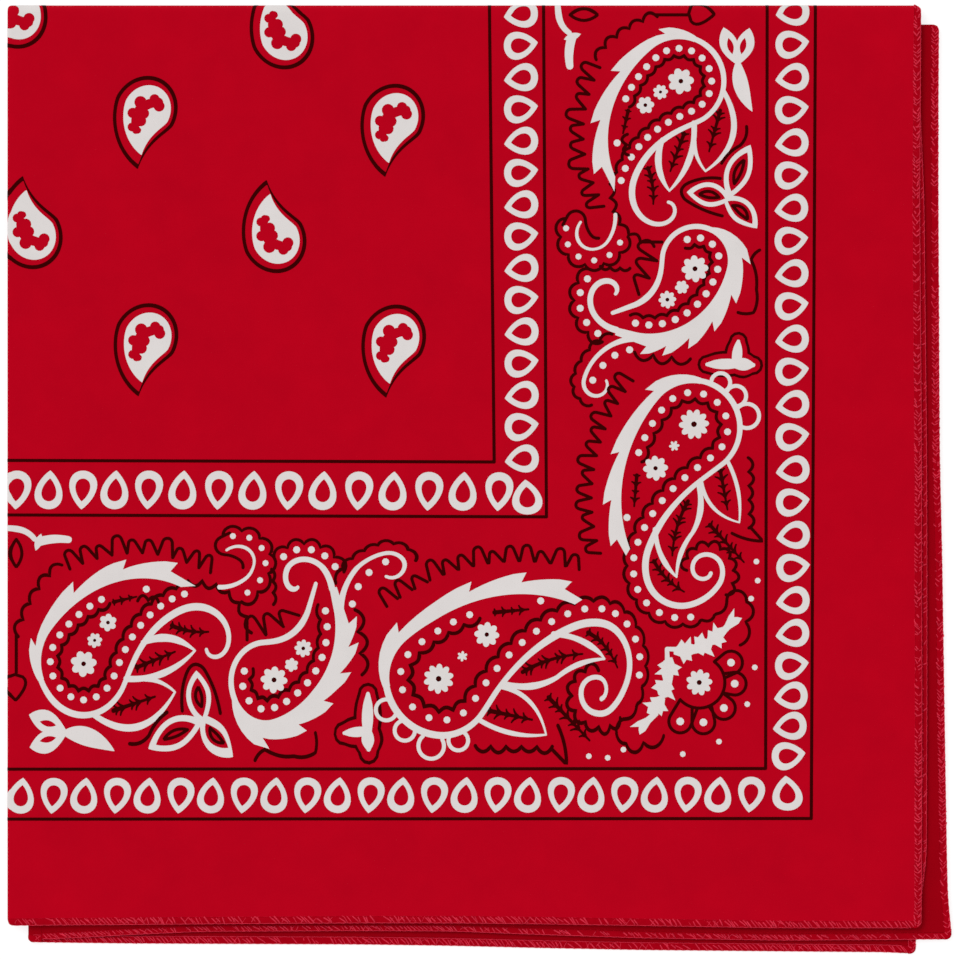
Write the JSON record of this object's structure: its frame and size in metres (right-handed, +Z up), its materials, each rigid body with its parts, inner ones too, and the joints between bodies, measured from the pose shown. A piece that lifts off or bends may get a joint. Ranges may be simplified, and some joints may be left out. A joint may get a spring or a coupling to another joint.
{
  "type": "folded bandana",
  "caption": "Square cotton bandana with a traditional paisley border print, folded into quarters to lie flat; worn as a headscarf, neckerchief or pocket square.",
  "frame": {"origin": "on the surface it lies on, under the middle of the folded stack", "axes": "+Z up out of the printed face, +X towards the hems at the right, +Y towards the fold at the far end"},
  "size_m": [0.2872, 0.2878, 0.0053],
  "materials": {
    "red_cotton": "matt plain-weave cotton, piece-dyed red",
    "red_thread": "red overlock thread over the hem, faint sheen",
    "white_print": "flat white textile print",
    "black_print": "flat black textile print"
  },
  "bodies": {
    "root": {"top_quarter": "red_cotton", "inner_layers": "red_cotton", "bottom_quarter": "red_cotton", "top_hem_right": "red_thread", "top_hem_near": "red_thread", "second_hem_right": "red_thread", "third_hem_right": "red_thread", "third_hem_near": "red_thread", "bottom_hem_right": "red_thread", "bottom_hem_near": "red_thread"}
  },
  "joints": []
}
